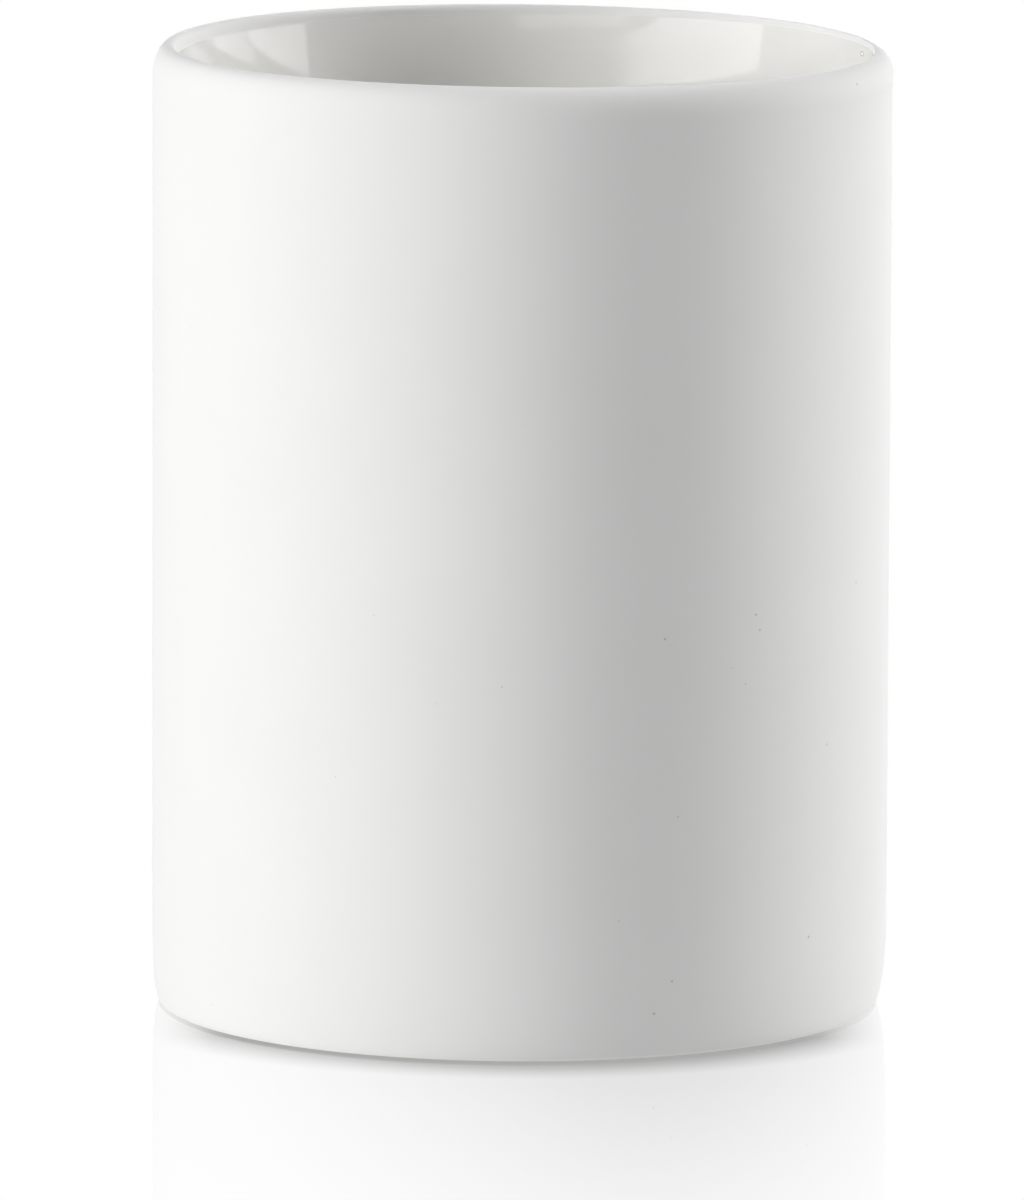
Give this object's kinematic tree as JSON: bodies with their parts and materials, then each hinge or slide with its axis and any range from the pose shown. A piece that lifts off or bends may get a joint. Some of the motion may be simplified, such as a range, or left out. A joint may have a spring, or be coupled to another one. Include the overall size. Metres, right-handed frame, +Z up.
{
  "type": "bathroom tumbler",
  "caption": "Round straight-walled ceramic tumbler with a thin rounded rim, glossy inside, matt outside and a soft disc in its foot, for holding toothbrushes or water.",
  "frame": {"origin": "centre of the surface that the tumbler stands on, under its pad", "axes": "+Z up along the tumbler's axis, out of its mouth; +X to the right and +Y away from the viewer of the picture"},
  "size_m": [0.08, 0.08, 0.1046],
  "materials": {
    "bare_ceramic": "fired white clay, ground smooth at the foot",
    "gloss_glaze": "clear gloss glaze on white clay",
    "matt_coat": "fine silky matt",
    "silicone": "frosted soft silicone",
    "adhesive_film": "thin acrylic film"
  },
  "bodies": {
    "root": {"ceramic_body": "bare_ceramic", "inner_glaze": "gloss_glaze", "outer_coat": "matt_coat", "anti_slip_pad": "silicone", "pad_adhesive": "adhesive_film"}
  },
  "joints": []
}
